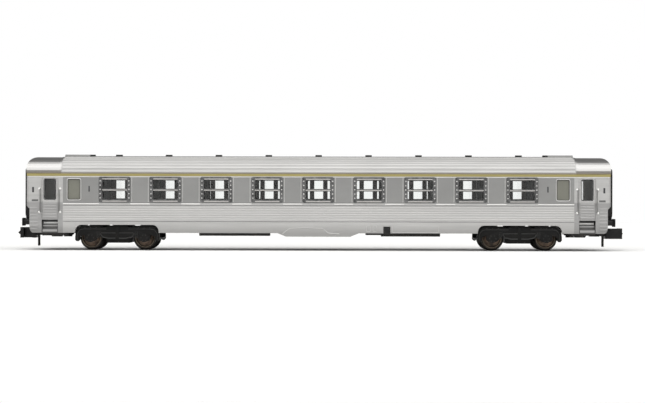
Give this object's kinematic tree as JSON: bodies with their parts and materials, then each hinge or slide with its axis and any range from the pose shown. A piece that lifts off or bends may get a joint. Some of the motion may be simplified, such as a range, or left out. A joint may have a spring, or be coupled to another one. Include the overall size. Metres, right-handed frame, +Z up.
{
  "type": "model railway passenger coach",
  "caption": "Scale model of a ribbed stainless side-corridor coach: clip-on roof, glazed sides, fitted interior, swivelling bogies with free wheelsets and sprung hook couplers.",
  "frame": {"origin": "middle of the coach between the two bogie pivots, on the level of the lowest points of the wheel flanges", "axes": "+X along the coach, -Y to the compartment side, +Y to the corridor side, +Z up"},
  "size_m": [0.1626, 0.018, 0.0255],
  "materials": {
    "silver_body": "metallic silver paint on plastic, fine horizontal ribs below the windows",
    "silver_roof": "metallic silver paint on plastic, ribbed with smooth shiny ends",
    "grey_roof_fittings": "satin grey",
    "window_frame_metal": "satin silver grey with dark rivets",
    "clear_glazing": "clear and glossy",
    "frosted_glazing": "frosted greenish grey",
    "grey_door": "satin silver grey",
    "grey_steps": "satin grey",
    "black_rubber_look": "matt black",
    "black_plastic": "satin black",
    "bogie_plastic": "satin black",
    "coupler_plastic": "satin black",
    "brown_interior": "matt dark brown",
    "seat_plastic": "matt brown",
    "weight_steel": "plain rolled steel",
    "screw_steel": "browned steel",
    "wheel_metal": "chemically blackened brass with bronze rims",
    "axle_metal": "bright drawn steel"
  },
  "bodies": {
    "coach": {"body_shell": "silver_body", "roof": "silver_roof", "roof_vents": "black_plastic", "roof_vent_boxes": "grey_roof_fittings", "window_frames_compartment": "window_frame_metal", "window_frames_corridor": "window_frame_metal", "glazing_compartment": "clear_glazing", "glazing_corridor": "clear_glazing", "toilet_panes": "frosted_glazing", "door_panes": "clear_glazing", "end_door_left": "grey_door", "end_door_right": "grey_door", "end_door_panes": "clear_glazing", "gangway_left": "black_rubber_look", "gangway_right": "black_rubber_look", "buffers_left": "black_plastic", "buffers_right": "black_plastic", "door_steps_left": "grey_steps", "door_steps_right": "grey_steps", "chassis": "black_plastic", "steel_weight": "weight_steel", "interior_floor": "brown_interior", "partitions": "brown_interior", "corridor_wall": "brown_interior", "benches": "seat_plastic", "battery_boxes": "black_plastic", "cabinets": "black_plastic", "air_tanks": "black_plastic", "pivot_screws": "screw_steel", "arm_screws": "screw_steel"},
    "bogie_left": {"bogie_frame_left": "bogie_plastic"},
    "bogie_right": {"bogie_frame_right": "bogie_plastic"},
    "wheelset_1": {"wheels_1": "wheel_metal", "axle_1": "axle_metal"},
    "wheelset_2": {"wheels_2": "wheel_metal", "axle_2": "axle_metal"},
    "wheelset_3": {"wheels_3": "wheel_metal", "axle_3": "axle_metal"},
    "wheelset_4": {"wheels_4": "wheel_metal", "axle_4": "axle_metal"},
    "coupler_arm_left": {"coupler_arm_left": "coupler_plastic"},
    "coupler_arm_right": {"coupler_arm_right": "coupler_plastic"},
    "coupler_hook_left": {"coupler_hook_left": "coupler_plastic"},
    "coupler_hook_right": {"coupler_hook_right": "coupler_plastic"}
  },
  "joints": [
    {"name": "bogie_left_swivel", "type": "hinge", "parent": "coach", "child": "bogie_left", "pos_m": [-0.0531, 0, 0.00575], "axis": [0, 0, 1], "range_deg": [-15, 15]},
    {"name": "bogie_right_swivel", "type": "hinge", "parent": "coach", "child": "bogie_right", "pos_m": [0.0531, 0, 0.00575], "axis": [0, 0, 1], "range_deg": [-15, 15]},
    {"name": "wheelset_1_roll", "type": "hinge", "parent": "bogie_left", "child": "wheelset_1", "pos_m": [-0.0602, 0, 0.0033], "axis": [0, 1, 0], "continuous": true},
    {"name": "wheelset_2_roll", "type": "hinge", "parent": "bogie_left", "child": "wheelset_2", "pos_m": [-0.046, 0, 0.0033], "axis": [0, 1, 0], "continuous": true},
    {"name": "wheelset_3_roll", "type": "hinge", "parent": "bogie_right", "child": "wheelset_3", "pos_m": [0.046, 0, 0.0033], "axis": [0, 1, 0], "continuous": true},
    {"name": "wheelset_4_roll", "type": "hinge", "parent": "bogie_right", "child": "wheelset_4", "pos_m": [0.0602, 0, 0.0033], "axis": [0, 1, 0], "continuous": true},
    {"name": "coupler_left_swing", "type": "hinge", "parent": "coach", "child": "coupler_arm_left", "pos_m": [-0.0675, 0, 0.0045], "axis": [0, 0, 1], "range_deg": [-7.5, 7.5], "stiffness_Nm_per_rad": 0.0002},
    {"name": "coupler_left_lift", "type": "hinge", "parent": "coupler_arm_left", "child": "coupler_hook_left", "pos_m": [-0.0734, 0, 0.00453], "axis": [0, 1, 0], "range_deg": [0, 8], "stiffness_Nm_per_rad": 0.0002},
    {"name": "coupler_right_swing", "type": "hinge", "parent": "coach", "child": "coupler_arm_right", "pos_m": [0.0675, 0, 0.0045], "axis": [0, 0, 1], "range_deg": [-7.5, 7.5], "stiffness_Nm_per_rad": 0.0002},
    {"name": "coupler_right_lift", "type": "hinge", "parent": "coupler_arm_right", "child": "coupler_hook_right", "pos_m": [0.0744, 0, 0.00453], "axis": [0, -1, 0], "range_deg": [0, 8], "stiffness_Nm_per_rad": 0.0002}
  ]
}
